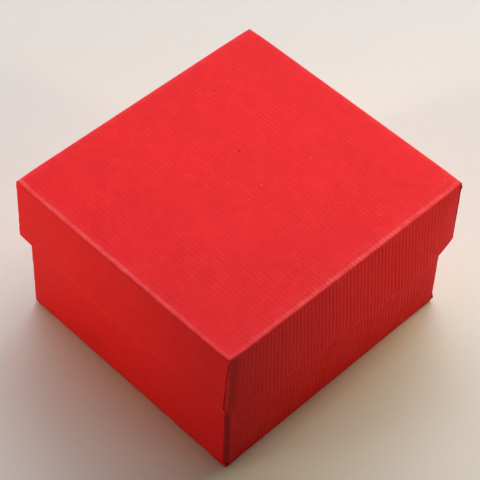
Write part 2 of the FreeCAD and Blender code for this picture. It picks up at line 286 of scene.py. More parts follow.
    # slight unevenness of the glued paper
    edge = ease(hy - np.abs(Y), 1.9, 9.0)
    room = np.where(kind == -1, ease(hx - np.abs(x), 0.9, 8.0),
                    np.where(wall, ease(wall_top - z, 0.0, 5.0) * ease(z - wall_low, 0.2, 4.0), 0.0))
    swell = 0.05 * waves(path[:, None], Y, seed + 1, 16, 50) * edge * room[:, None]
    fine = 0.006 * waves(path[:, None], Y, seed + 2, 1.2, 3.0, 16) * ease(hy - np.abs(Y), 1.9, 3.0) * (kind <= 1)[:, None]
    move = amp * rib + swell + fine
    # the free edge inside is cut by hand and not quite straight
    free = (kind == 3) * ease(z, low + 0.35 * turn, low + turn)
    Z += free[:, None] * 0.35 * waves(Y, 0.0 * Y + 40.0 * sx[:, None], seed + 3, 12, 60)
    P = np.stack([X + nx[:, None] * move, Y, Z + nz[:, None] * move], -1)
    # paleness along the folds, the lid's lower edge and the tab tips: partly rubbed wear, partly painted highlight;
    # weaker on the -X and +Y top edges and near the +X -Y corner
    bend = 0.58 * rub_and_highlight * (1.0 - ease(nx * sx, 0.40, 0.85))
    row_fold = np.select([kind == 0, kind == 2], [bend, 0.30], 0.0)
    row_fold = np.where(kind == -1, 0.10 * ease(np.abs(x), hx - 3.2, hx - 1.4) + 0.48 * ease(np.abs(x), hx - 1.80, hx - 1.25), row_fold)
    row_fold = np.where(wall, 0.16 * (1 - ease(z - wall_low, 0.0, 0.5)), row_fold)
    row_fold = np.where((kind == -1) & (x < 0), 0.30 * row_fold, row_fold)
    fold = np.broadcast_to(row_fold[:, None], X.shape).copy()
    along = np.where(kind == -1, 1.0, 0.0)[:, None] * (0.10 * ease(np.abs(Y), hy - 3.2, hy - 1.4) + 0.48 * ease(np.abs(Y), hy - 1.75, hy - 1.25))
    along = along * np.where(Y < 0, 1.0, 0.30)
    fold = np.maximum(fold, along)
    fold = fold * np.where((kind <= 0)[:, None], 1.0 - 0.5 * np.exp(-((X - hx) / 18.0) ** 2 - ((Y + hy) / 18.0) ** 2), 1.0)
    tip = np.zeros(X.shape)
    tip[:, :ends_a], tip[:, -ends_a:] = 0.10 * q[:, None], 0.10 * q[:, None]
    fold = np.maximum(fold, tip)
    # painted shade: the paper is coloured darker in bands beside the upright corners, most at the -Y ones, and beside
    # the corner nubs, standing in for the shade of the corner crease and the flaps' edges
    d = hy - np.abs(Y)
    d[:, -ends_a:] = (hy - y0) * (1 - ky)
    d[:, :ends_a] = (hy - y0) * (1 - ky[::-1])
    painted_seam_shade = sum(deep * (1 - ease(d, a1, b1)) * ease(d, a0, b0) for deep, a0, b0, a1, b1 in painted_seam_shade_bands) * q[:, None]
    painted_seam_shade = painted_seam_shade * np.clip(0.85 + 0.3 * waves(z[:, None], 0.3 * Y, seed + 17, 4, 25), 0.4, 1.0)
    painted_seam_shade = painted_seam_shade * np.where(Y < 0, 1.0, 0.12)
    for mx, my, mz, reach, size in marks:
        painted_seam_shade = np.maximum(painted_seam_shade, 0.8 * (sx[:, None] == mx) * (np.sign(Y) == my) * np.exp(-((Z - mz) / reach) ** 2) * (1 - ease(d, 0.3, 0.8)) * q[:, None])
    sheet.patch(place(P), fold, np.clip(rib, -1, 1), flip, painted_seam_shade=painted_seam_shade)

    # ---- the flaps on the two Y walls
    b = side(True)
    first = np.array([(r, top, 0.0, 1.0, hy - r, 0)])
    b = np.concatenate([first, b])
    o, z, no, nz, s, kind = b[:, 0], b[:, 1], b[:, 2], b[:, 3], b[:, 4], b[:, 5].astype(int)
    wall = kind == 1
    loose = np.where(wall, ease(wall_top - z, 0.30, 1.4) * ease(z - wall_low, 0.25, 1.2), 0.0)
    for number, sy in enumerate((-1.0, 1.0)):
        sets = []
        for sxx in (-1.0, 1.0):
            t = np.clip((top - z) / (top - low), 0, 1)
            short = trim[0] + (trim[1] - trim[0]) * t if (sxx, sy) == (1, -1) else 0.06 + 0 * t
            jag = -short + 0.05 * waves(z, 0 * z + 9 * sxx, seed + 5 + number, 2.5, 14)
            xend = hx - o + loose * jag
            for mx, my, mz, reach, size in marks:
                if mx == sxx and my == sy:
                    xend = xend + size * np.exp(-((z - mz) / reach) ** 2) * loose
            sets.append(x0 + (xend[:, None] - x0) * kx[None, :])
        X = np.concatenate([-sets[0][:, ::-1], np.broadcast_to(xi, (len(z), len(xi))), sets[1]], 1)
        Z = np.broadcast_to(z[:, None], X.shape).copy()
        row_rib = np.select([kind == 0, kind == 1, kind == 2],
                            [0.0, ease(wall_top - z, 0.1, 1.2) * ease(z - wall_low, 0.1, 1.0), 0.0],
                            0.5 * ease(z - wall_low, 0.0, 1.0) * (1 - ease(z, low + turn - 0.8, low + turn)))
        press = 0.80 + 0.35 * waves(X, s[:, None] + 0 * X, seed + 7 + number, 14, 60)
        press = np.clip(press, 0.3, 1.15)
        rib = np.cos(2 * math.pi * s / PITCH)[:, None] * row_rib[:, None] * press * (1 - ease(np.abs(X), x0 - 1.4, x0 + 0.6))
        room = np.where(wall, ease(wall_top - z, 0.0, 5.0) * ease(z - wall_low, 0.2, 4.0), 0.0)
        swell = 0.05 * waves(X, s[:, None] + 0 * X, seed + 9 + number, 16, 50) * ease(hx - np.abs(X), 1.0, 8.0) * room[:, None]
        lift = peel * (1.0 + 0.6 * waves(z, 0 * z, seed + 11 + number, 3, 20))[:, None] * loose[:, None] * ease(np.abs(X), hx - 2.4, hx - 0.4)
        move = flap_amp * rib + swell + np.clip(lift, 0, 0.4)
        free = (kind == 3) * ease(z, low + 0.35 * turn, low + turn)
        Z += free[:, None] * 0.35 * waves(X, 0 * X + 7.0 * sy, seed + 13, 12, 60)
        P = np.stack([X, sy * (hy - o[:, None] + no[:, None] * move), Z + nz[:, None] * move], -1)
        # flap folds and the flap's cut edge are paler: partly rubbed wear, partly painted highlight
        row_fold = np.select([kind == 0, kind == 2], [0.58 * rub_and_highlight * (1.0 - ease(no, 0.40, 0.85)), 0.30], 0.0)
        row_fold = np.where(wall, 0.16 * (1 - ease(z - wall_low, 0.0, 0.5)), row_fold)
        fade = 1.0 - (0.5 * np.exp(-((X - hx) / 18.0) ** 2) if sy < 0 else 0.0 * X) * (kind == 0)[:, None]
        if nick and sy < 0:
            row_nick = np.select([kind == 1, kind == 2], [1 - ease(z - wall_low, 0.0, 0.4), 1.0], 0.0)
            row_fold = np.maximum(row_fold[:, None], row_nick[:, None] * np.exp(-((X - (hx - 1.3)) / 0.9) ** 2))
        else:
            row_fold = row_fold[:, None]
        fold = np.maximum(row_fold * fade, 0.15 * loose[:, None] * ease(np.abs(X), hx - 1.0, hx - 0.4))
        sheet.patch(place(P), fold, 0.04 * rib, flip if sy < 0 else not flip)
    return sheet.make(name, materials, thick=PAPER)


# ---------------------------------------------------------------- trays, boards, stays
def ring(hx, hy, rc, nx, ny, nc):
    """Points round a rectangle with rounded corners, counterclockwise from above."""
    rc = max(min(rc, hx - 1e-3, hy - 1e-3), 1e-3)
    out = []
    def run(a, b, n):
        out.extend(a + (b - a) * t for t in np.linspace(0, 1, n, endpoint=False))
    def arc(cx, cy, start, n):
        t = start + np.linspace(0, math.pi / 2, n, endpoint=False)
        out.extend(np.stack([cx + rc * np.cos(t), cy + rc * np.sin(t)], -1))
    v = lambda *p: np.array(p, float)
    run(v(hx, -hy + rc), v(hx, hy - rc), ny)
    arc(hx - rc, hy - rc, 0.0, nc)
    run(v(hx - rc, hy), v(-hx + rc, hy), nx)
    arc(-hx + rc, hy - rc, math.pi / 2, nc)
    run(v(-hx, hy - rc), v(-hx, -hy + rc), ny)
    arc(-hx + rc, -hy + rc, math.pi, nc)
    run(v(-hx + rc, -hy), v(hx - rc, -hy), nx)
    arc(hx - rc, -hy + rc, 1.5 * math.pi, nc)
    return np.array(out)


def tray(name, materials, hx, hy, panel, edge, thick, place, flip, seed):
    """Lining paper inside a tray: a panel with four walls, folded round its edges."""
    sheet = Sheet()
    up = 1.0 if edge > panel else -1.0
    r = 0.45
    rows = [(hx - d, hy - d, panel) for d in (34.0, 24.0, 15.0, 8.0, 4.0, 2.0, 1.0, r)]
    for a in np.linspace(0, math.pi / 2, 6)[1:]:
        rows.append((hx - r + r * math.sin(a), hy - r + r * math.sin(a), panel + up * (r - r * math.cos(a))))
    for h in np.linspace(abs(edge - panel) - 0.0, r, int(abs(edge - panel) / 2.5) + 2)[:-1][::-1]:
        rows.append((hx, hy, panel + up * h))
    P = []
    for a, b, z in rows:
        xy = ring(a, b, 0.35 if a > hx - 3 else 0.2, 30, 32, 5)
        P.append(np.concatenate([xy, np.full((len(xy), 1), z)], 1))
    P = np.array(P)
    inside = ease(hx - np.abs(P[..., 0]), 0.6, 6.0) * ease(hy - np.abs(P[..., 1]), 0.6, 6.0)
    P[..., 2] += up * 0.05 * np.clip(0.5 + waves(P[..., 0], P[..., 1], seed, 14, 40), 0, 2) * inside
    k = sheet.patch(place(P), 0.0, 0.0, flip, loop=True)
    sheet.cap(k[0, :-1], flip)
    return sheet.make(name, materials, thick=thick)


def board(name, material, low, high, cuts, place):
    """A board panel with slightly crushed edges."""
    sheet = Sheet()
    low, high = np.array(low, float), np.array(high, float)
    for axis in range(3):
        u, v = (axis + 1) % 3, (axis + 2) % 3
        gu = np.linspace(low[u], high[u], cuts[u] + 1)
        gv = np.linspace(low[v], high[v], cuts[v] + 1)
        for end in (low, high):
            p = np.zeros((len(gu), len(gv), 3))
            p[..., axis] = end[axis]
            p[..., u], p[..., v] = gu[:, None], gv[None, :]
            sheet.patch(place(p), 0.0, 0.0, flip=end is low)
    return sheet.make(name, [material], bevel=0.08)


def stays(name, material, hx, hy, low, high, offset, reach, thick, place):
    """Paper strips glued round the four upright corners of the boards."""
    sheet = Sheet()
    r = 0.3
    for sx in (-1, 1):
        for sy in (-1, 1):
            line = [(-d, 0.0) for d in np.linspace(reach, r, 7)]
            line += [(-r + r * math.sin(t), -r + r * math.cos(t)) for t in np.linspace(0, math.pi / 2, 6)[1:]]
            line += [(0.0, -d) for d in np.linspace(r, reach, 7)[1:]]
            line = np.array(line)
            zz = np.linspace(high, low, 9)
            p = np.zeros((len(zz), len(line), 3))
            p[..., 0] = sx * (hx - offset + line[None, :, 0])
            p[..., 1] = sy * (hy - offset + line[None, :, 1])
            p[..., 2] = zz[:, None]
            sheet.patch(place(p), 0.0, 0.0, flip=sx * sy > 0)
    return sheet.make(name, [material], thick=thick)


# ---------------------------------------------------------------- materials
class Paint:
    """A node material, with short names for the nodes used here."""

    def __init__(self, name):
        self.m = bpy.data.materials.new(name)
        self.m.use_nodes = True
        self.t = self.m.node_tree
        self.out = self.t.nodes["Principled BSDF"]
        self.place = self.t.nodes.new("ShaderNodeTexCoord").outputs["Object"]

    def link(self, socket, value):
        if isinstance(value, bpy.types.NodeSocket):
            self.t.links.new(value, socket)
        else:
            socket.default_value = value

    def set(self, **values):
        for key, value in values.items():
            self.link(self.out.inputs[key.replace("_", " ")], value)

    def stretch(self, scale, turn=(0, 0, 0), shift=(0, 0, 0), of=None):
        n = self.t.nodes.new("ShaderNodeMapping")
        self.link(n.inputs["Vector"], of or self.place)
        n.inputs["Scale"].default_value = scale
        n.inputs["Rotation"].default_value = turn
        n.inputs["Location"].default_value = shift
        return n.outputs["Vector"]

    def noise(self, size, detail=3.0, rough=0.55, of=None, warp=0.0, out="Fac"):
        """size is the width of a feature in millimetres."""
        n = self.t.nodes.new("ShaderNodeTexNoise")
        self.link(n.inputs["Vector"], of or self.place)
        n.inputs["Scale"].default_value = 1.0 / (size * MM)
        n.inputs["Detail"].default_value = detail
        n.inputs["Roughness"].default_value = rough
        n.inputs["Distortion"].default_value = warp
        return n.outputs[out]

    def cells(self, size, out="Distance", of=None, feature="F1", spread=1.0):
        n = self.t.nodes.new("ShaderNodeTexVoronoi")
        n.feature = feature
        self.link(n.inputs["Vector"], of or self.place)
        n.inputs["Scale"].default_value = 1.0 / (size * MM)
        n.inputs["Randomness"].default_value = spread
        return n.outputs[out]

    def value(self, name):
        n = self.t.nodes.new("ShaderNodeAttribute")
        n.attribute_name = name
        return n.outputs["Fac"]

    def math(self, op, a, b=0.0, c=0.0, clamp=False):
        n = self.t.nodes.new("ShaderNodeMath")
        n.operation, n.use_clamp = op, clamp
        for socket, v in zip(n.inputs, (a, b, c)):
            self.link(socket, v)
        return n.outputs[0]

    def span(self, v, a, b, c=0.0, d=1.0, smooth=True):
        n = self.t.nodes.new("ShaderNodeMapRange")
        n.interpolation_type = "SMOOTHSTEP" if smooth else "LINEAR"
        for key, x in zip(("Value", "From Min", "From Max", "To Min", "To Max"), (v, a, b, c, d)):
            self.link(n.inputs[key], x)
        return n.outputs[0]

    def mix(self, fac, a, b, mode="MIX"):
        n = self.t.nodes.new("ShaderNodeMix")
        n.data_type, n.blend_type = "RGBA", mode
        self.link(n.inputs[0], fac)
        self.link(n.inputs[6], a if isinstance(a, bpy.types.NodeSocket) else (*a, 1.0))
        self.link(n.inputs[7], b if isinstance(b, bpy.types.NodeSocket) else (*b, 1.0))
        return n.outputs[2]

    def near(self, point, radius, soft):
        """1 within radius of a point given in millimetres, 0 beyond."""
        n = self.t.nodes.new("ShaderNodeVectorMath")
        n.operation = "DISTANCE"
        self.link(n.inputs[0], self.place)
        n.inputs[1].default_value = [c * MM for c in point]
        return self.span(n.outputs["Value"], (radius - soft) * MM, (radius + soft) * MM, 1.0, 0.0)

    def bump(self, height, depth, strength=1.0, normal=None):
        """depth is the height of 1 in millimetres."""
        n = self.t.nodes.new("ShaderNodeBump")
        n.inputs["Distance"].default_value = depth * MM
        n.inputs["Strength"].default_value = strength
        self.link(n.inputs["Height"], height)
        if normal is not None:
            self.link(n.inputs["Normal"], normal)
        return n.outputs["Normal"]


def red_paper(name, edge=False):
    p = Paint(name)
    blotch = p.noise(17.0, 4.0, 0.6)
    cloud = p.noise(3.2, 4.0, 0.62)
    grain = p.noise(0.55, 3.0, 0.6)
    fibre = p.noise(0.5, 3.0, 0.55, of=p.stretch((0.16, 1.0, 0.35), turn=(0.1, 0.2, 0.35)), warp=0.6)
    fibre2 = p.noise(0.45, 3.0, 0.55, of=p.stretch((1.0, 0.18, 0.3), turn=(0.3, 0.1, -0.5)), warp=0.6)
    tone = p.math("ADD", p.math("MULTIPLY", blotch, 0.35), p.math("MULTIPLY", cloud, 0.35))
    tone = p.math("ADD", tone, p.math("MULTIPLY", grain, 0.30))
    colour = p.mix(p.span(tone, 0.36, 0.64), (0.675, 0.0085, 0.0115), (0.760, 0.0118, 0.0160))
    hair = p.math("MULTIPLY", p.span(fibre, 0.60, 0.74), p.span(fibre2, 0.42, 0.66))
    colour = p.mix(p.math("MULTIPLY", hair, 0.35), colour, (0.84, 0.035, 0.040))
    dark = p.math("MULTIPLY", p.span(fibre2, 0.62, 0.78), 0.30)
    colour = p.mix(dark, colour, (0.52, 0.008, 0.010))
    # painted shade in the valleys of the ribs, in broken dashes, and painted highlight on their crests
    rib = p.value("rib")
    broken = p.noise(1.5, 2.0, 0.5, of=p.stretch((0.45, 1.0, 0.30)))
    valley_painted_shade = p.math("MULTIPLY", p.span(rib, 0.0, -0.9), p.span(broken, 0.40, 0.60, 0.0, 0.23))
    colour = p.mix(valley_painted_shade, colour, (0.50, 0.007, 0.010))
    crest_painted_highlight = p.math("MULTIPLY", p.span(rib, 0.35, 1.0), p.span(cloud, 0.48, 0.70, 0.0, 0.22))
    colour = p.mix(crest_painted_highlight, colour, (0.86, 0.055, 0.058))
    # folds are paler, in patches: partly rubbed wear, partly painted highlight where the folds catch the light
    fold = p.value("fold")
    patch = p.math("ADD", p.math("MULTIPLY", cloud, 0.6), p.math("MULTIPLY", grain, 0.4))
    wear_and_highlight = p.math("MULTIPLY", fold, p.span(patch, 0.38, 0.62, 0.38, 1.0))
    wear_and_highlight = p.math("MULTIPLY", wear_and_highlight, p.span(rib, -0.9, 0.9, 0.85, 1.15))
    colour = p.mix(p.math("MULTIPLY", wear_and_highlight, 0.90, clamp=True), colour, (0.84, 0.125, 0.140))
    speck = p.math("MULTIPLY", p.span(fold, 0.25, 0.9), p.span(p.noise(0.42, 2.0, 0.5), 0.58, 0.70))
    colour = p.mix(p.math("MULTIPLY", speck, 0.40), colour, (0.90, 0.26, 0.26))
    # painted shade beside the upright corners and the corner nubs
    colour = p.mix(p.math("MULTIPLY", p.value("painted_seam_shade"), 0.90, clamp=True), colour, (0.15, 0.0022, 0.0008))
    if edge:
        colour = p.mix(p.span(grain, 0.4, 0.65, 0.10, 0.40), colour, (0.76, 0.12, 0.11))
    else:
        for point, size in (((-8.2, 7.7, 52.0), 0.34), ((-29.5, 18.5, 52.0), 0.26),
                            ((-31.6, 28.6, 52.0), 0.30), ((-16.6, -8.5, 52.0), 0.20)):
            colour = p.mix(p.math("MULTIPLY", p.near(point, size, 0.14), 0.85), colour, (0.10, 0.006, 0.008))
        for point, size in (((4.7, 3.4, 52.0), 0.17), ((7.1, 20.1, 52.0), 0.15), ((19.6, 27.5, 52.0), 0.15),
                            ((37.4, 41.2, 52.0), 0.14), ((-10.9, -8.5, 52.0), 0.15)):
            colour = p.mix(p.math("MULTIPLY", p.near(point, size, 0.14), 0.35), colour, (0.88, 0.34, 0.34))
    rough = p.span(grain, 0.3, 0.7, 0.54, 0.68)
    rough = p.math("ADD", rough, p.math("MULTIPLY", wear_and_highlight, 0.10))
    h = p.math("ADD", p.math("MULTIPLY", p.noise(0.30, 4.0, 0.6), 0.6), p.math("MULTIPLY", grain, 0.5))
    h = p.math("ADD", h, p.math("MULTIPLY", fibre, 0.5))
    p.set(Base_Color=colour, Roughness=rough, Normal=p.bump(h, 0.020, 0.6))
    p.out.inputs["Specular IOR Level"].default_value = 0.10
    return p.m


def plain_paper(name, light, dark, speck, rough=0.75, depth=0.03):
    p = Paint(name)
    cloud = p.noise(6.0, 4.0, 0.6)
    grain = p.noise(0.6, 4.0, 0.6)
    fibre = p.noise(0.7, 3.0, 0.55, of=p.stretch((0.15, 1.0, 0.4), turn=(0.1, 0.3, 0.4)), warp=0.5)
    fibre2 = p.noise(0.7, 3.0, 0.55, of=p.stretch((1.0, 0.15, 0.4), turn=(0.3, 0.1, -0.3)), warp=0.5)
    colour = p.mix(p.span(p.math("ADD", p.math("MULTIPLY", cloud, 0.6), p.math("MULTIPLY", grain, 0.4)), 0.36, 0.64), dark, light)
    mark = p.math("MULTIPLY", p.span(fibre, 0.63, 0.76), p.span(fibre2, 0.50, 0.70))
    colour = p.mix(p.math("MULTIPLY", mark, 0.5), colour, speck)
    h = p.math("ADD", grain, p.math("MULTIPLY", fibre, 0.7))
    p.set(Base_Color=colour, Roughness=p.span(grain, 0.3, 0.7, rough - 0.07, rough + 0.07), Normal=p.bump(h, depth, 0.6))
    p.out.inputs["Specular IOR Level"].default_value = 0.30
    return p.m


def grey_board(name):
    p = Paint(name)
    cloud = p.noise(5.0, 5.0, 0.65)
    grain = p.noise(0.5, 4.0, 0.6)
    fibre = p.noise(0.9, 3.0, 0.55, of=p.stretch((0.14, 1.0, 0.6), turn=(0.2, 0.3, 0.5)), warp=0.8)
    fibre2 = p.noise(0.8, 3.0, 0.55, of=p.stretch((1.0, 0.16, 0.6), turn=(0.4, 0.1, -0.2)), warp=0.8)
    colour = p.mix(p.span(p.math("ADD", p.math("MULTIPLY", cloud, 0.5), p.math("MULTIPLY", grain, 0.5)), 0.35, 0.65),
                   (0.24, 0.225, 0.20), (0.40, 0.38, 0.345))
    colour = p.mix(p.span(fibre, 0.60, 0.76, 0.0, 0.6), colour, (0.56, 0.52, 0.46))
    colour = p.mix(p.span(fibre2, 0.62, 0.78, 0.0, 0.6), colour, (0.10, 0.09, 0.085))
    fleck = p.span(p.cells(2.4, of=None), 0.06, 0.13, 0.8, 0.0)
    colour = p.mix(fleck, colour, (0.07, 0.08, 0.11))
    h = p.math("ADD", grain, fibre)
    p.set(Base_Color=colour, Roughness=p.span(grain, 0.3, 0.7, 0.80, 0.94), Normal=p.bump(h, 0.07, 0.7))
    p.out.inputs["Specular IOR Level"].default_value = 0.25
    return p.m


def pile_cloth(name):
    p = Paint(name)
    nap = p.noise(9.0, 3.0, 0.6, warp=0.8)
    tuft = p.noise(0.30, 3.0, 0.6)
    streak = p.noise(0.9, 3.0, 0.55, of=p.stretch((0.3, 1.0, 1.0), turn=(0, 0, 0.3)), warp=0.4)
    tone = p.math("ADD", p.math("MULTIPLY", nap, 0.30), p.math("MULTIPLY", streak, 0.35))
    tone = p.math("ADD", tone, p.math("MULTIPLY", tuft, 0.35))
    colour = p.mix(p.span(tone, 0.34, 0.66), (0.63, 0.55, 0.430), (0.78, 0.71, 0.58))
    h = p.math("ADD", tuft, p.math("MULTIPLY", p.cells(0.22), 0.7))
    p.set(Base_Color=colour, Roughness=p.span(nap, 0.3, 0.7, 0.82, 0.95), Normal=p.bump(h, 0.10, 0.7))
    p.out.inputs["Specular IOR Level"].default_value = 0.15
    p.out.inputs["Sheen Weight"].default_value = 0.45
    p.out.inputs["Sheen Roughness"].default_value = 0.40
    p.out.inputs["Sheen Tint"].default_value = (1.0, 0.95, 0.86, 1.0)
    return p.m


def open_foam(name):
    p = Paint(name)
    cell = p.cells(0.55)
    cell2 = p.cells(0.30)
    cloud = p.noise(6.0, 3.0, 0.6)
    colour = p.mix(p.span(cloud, 0.35, 0.65), (0.74, 0.70, 0.58), (0.86, 0.83, 0.72))
    pore = p.math("MULTIPLY", p.span(cell, 0.18, 0.42, 1.0, 0.0), p.span(cell2, 0.1, 0.5, 1.0, 0.4))
    # painted shade: the pores are coloured darker, where shade falls inside them
    colour = p.mix(p.math("MULTIPLY", pore, 0.75), colour, (0.36, 0.32, 0.22))
    h = p.math("SUBTRACT", 1.0, pore)
    p.set(Base_Color=colour, Roughness=p.span(cell, 0.1, 0.5, 0.82, 0.95), Normal=p.bump(h, 0.12, 0.8))
    p.out.inputs["Specular IOR Level"].default_value = 0.20
    return p.m


RED = red_paper("red_ribbed_paper")
RED_EDGE = red_paper("red_paper_cut", edge=True)
LINING = plain_paper("white_lining_paper", (0.86, 0.85, 0.82), (0.78, 0.77, 0.735), (0.66, 0.64, 0.59))
STAY = plain_paper("stay_paper", (0.50, 0.36, 0.215), (0.40, 0.28, 0.16), (0.28, 0.185, 0.10), 0.8, 0.05)
BOARD = grey_board("greyboard")
CLOTH = pile_cloth("pad_cloth")
FOAM = open_foam("foam")


def keep_node(name, material):
    o = nodes[name]
    o.data.materials.clear()
    o.data.materials.append(material)


def piece(obj, body, slot, *stands_for):
    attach(obj, body)
    if stands_for:
        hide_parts(*stands_for)
    return obj


straight = lambda p: np.array(p, float)

# ---------------------------------------------------------------- the lid
lid_cover = wrap("lid_covering", [RED, RED_EDGE], LID_HX, LID_HY, LID_TOP - 0.02, LID_LOW, 0.6, 1.56, 14.0,
                 lid_warp, 11, nick=True, marks=((1, 1, 50.5, 1.1, 0.50),),
                 painted_seam_shade_bands=((0.95, -0.1, 0.0, 0.50, 0.72), (0.50, 1.20, 1.45, 2.0, 3.9)))
piece(lid_cover, "lid", "red_ribbed_paper", "lid_wrap")
lid_inside = tray("lid_inner_lining", [LINING], LID_HX - 1.42, LID_HY - 1.42, 50.54, LID_LOW + 11.5, 0.08, lid_warp, True, 31)
piece(lid_inside, "lid", "white_lining_paper", "lid_lining")
for tag, lo, hi, cuts in (
    ("front", (-LID_HX + 0.34, -LID_HY + 0.34, LID_LOW + 0.4), (LID_HX - 0.34, -LID_HY + 1.30, 50.60), (28, 1, 8)),
    ("back", (-LID_HX + 0.34, LID_HY - 1.30, LID_LOW + 0.4), (LID_HX - 0.34, LID_HY - 0.34, 50.60), (28, 1, 8)),
    ("right", (LID_HX - 1.30, -LID_HY + 1.34, LID_LOW + 0.4), (LID_HX - 0.34, LID_HY - 1.34, 50.60), (1, 30, 8)),
    ("left", (-LID_HX + 0.34, -LID_HY + 1.34, LID_LOW + 0.4), (-LID_HX + 1.30, LID_HY - 1.34, 50.60), (1, 30, 8)),
):
    o = board("lid_wall_panel_" + tag, BOARD, lo, hi, cuts, lid_warp)
    piece(o, "lid", "greyboard", "lid_wall_board_" + tag)
o = stays("lid_corner_strips", STAY, LID_HX, LID_HY, LID_LOW + 1.0, 50.0, 0.27, 12.0, 0.06, lid_warp)
piece(o, "lid", "stay_paper", "lid_corner_stays")
keep_node("lid_top_board", BOARD)

# ---------------------------------------------------------------- the base
base_cover = wrap("base_covering", [RED, RED_EDGE], BASE_HX, BASE_HY, BASE_RIM - 0.15, 0.0, 0.50, 1.54, 15.0,
                  base_place, 51, corner=0.25, tuck=0.06, trim=(1.10, 0.62), peel=0.05, flip=True,
                  marks=((1, 1, BASE_RIM - 1.7, 1.3, 0.62),),
                  wall_rib=5.1, across=4.8, rub_and_highlight=0.1, painted_seam_shade_bands=((0.80, -0.1, 0.0, 1.52, 1.80),))
piece(base_cover, "base", "red_ribbed_paper", "base_wrap")
base_inside = tray("base_inner_lining", [LINING], BASE_HX - 1.40, BASE_HY - 1.40, 1.32, 38.0, 0.08, straight, False, 71)
piece(base_inside, "base", "white_lining_paper", "base_lining")
for tag in ("front", "right", "back", "left"):
    keep_node("base_wall_board_" + tag, BOARD)
keep_node("base_bottom_board", BOARD)
keep_node("base_corner_stays", STAY)


# ---------------------------------------------------------------- the pad
def pad_form(name, material, inset, hem, thick, seed):
    """Crowned pad whose sides draw in between its corners."""
    sheet = Sheet()
    hx, hy, zb = 37.15 - inset, 40.15 - inset, (1.42 if hem else 2.52)
    rt, rl = 2.3, (0.7 if hem else 0.4)
    zt = 6.75 - inset
    rows = [(-d, zt, 0) for d in np.linspace(36.0, rt, 22)]
    for a in np.linspace(0, math.pi / 2, 9)[1:]:
        rows.append((-rt + rt * math.sin(a), zt - rt + rt * math.cos(a), 1))
    for z in np.linspace(zt - rt, zb + rl, 5)[1:]:
        rows.append((0.0, z, 1))
    for a in np.linspace(0, math.pi / 2, 5)[1:]:
        rows.append((-rl + rl * math.cos(a), zb + rl - rl * math.sin(a), 1))
    if hem:
        for d in np.linspace(rl, 9.0, 6)[1:]:
            rows.append((-d, zb, 2))
    P, K = [], []
    for d, z, k in rows:
        a, b = hx + d, hy + d
        xy = ring(a, b, max(3.2 + d, 0.6), 40, 44, 12)
        P.append(np.concatenate([xy, np.full((len(xy), 1), z)], 1))
        K.append(k)
    P, K = np.array(P), np.array(K)
    u, v = P[..., 0] / hx, P[..., 1] / hy
    top = np.clip((P[..., 2] - zb) / (zt - zb), 0, 1)
    crown = np.sqrt(np.clip(np.cos(0.5 * math.pi * np.clip(u, -1, 1)) * np.cos(0.5 * math.pi * np.clip(v, -1, 1)), 0, 1))
    P[..., 2] += ease(top, 0.5, 1.0) * (0.55 * crown + 0.07 * waves(P[..., 0], P[..., 1], seed, 12, 40) * crown)
    side = ease(top, 0.02, 0.5)
    P[..., 0] -= 0.55 * np.sign(u) * ease(np.abs(u), 0.6, 1.0) * (1 - v * v).clip(0, 1) * side
    P[..., 1] -= 0.55 * np.sign(v) * ease(np.abs(v), 0.6, 1.0) * (1 - u * u).clip(0, 1) * side
    # gathers at the corners, where the cloth is folded under
    angle = np.arctan2(np.abs(P[..., 1]) - hy + 6.0, np.abs(P[..., 0]) - hx + 6.0)
    close = ease(np.abs(u), 0.82, 0.97) * ease(np.abs(v), 0.84, 0.97) * ease(1 - top, 0.0, 0.7) * (K < 2)[:, None]
    pinch = 0.14 * np.sin(angle * 13.0 + 0.7) * close
    P[..., 0] += np.sign(u) * pinch * 0.7
    P[..., 1] += np.sign(v) * pinch * 0.7
    k = sheet.patch(P, 0.0, 0.0, False, loop=True)
    sheet.cap(k[0, :-1])
    if not hem:
        sheet.cap(k[-1, :-1], True)
        return sheet.make(name, [material], sharp=60)
    obj = sheet.make(name, [material], sharp=180)
    fill(obj, zb + 0.75, 0.75)
    m = obj.modifiers.new("thickness", "SOLIDIFY")
    m.thickness, m.offset, m.use_rim = thick * MM, -1.0, True
    settle(obj)
    obj.data.shade_smooth()
    obj.data.set_sharp_from_angle(angle=math.radians(60))
    return obj


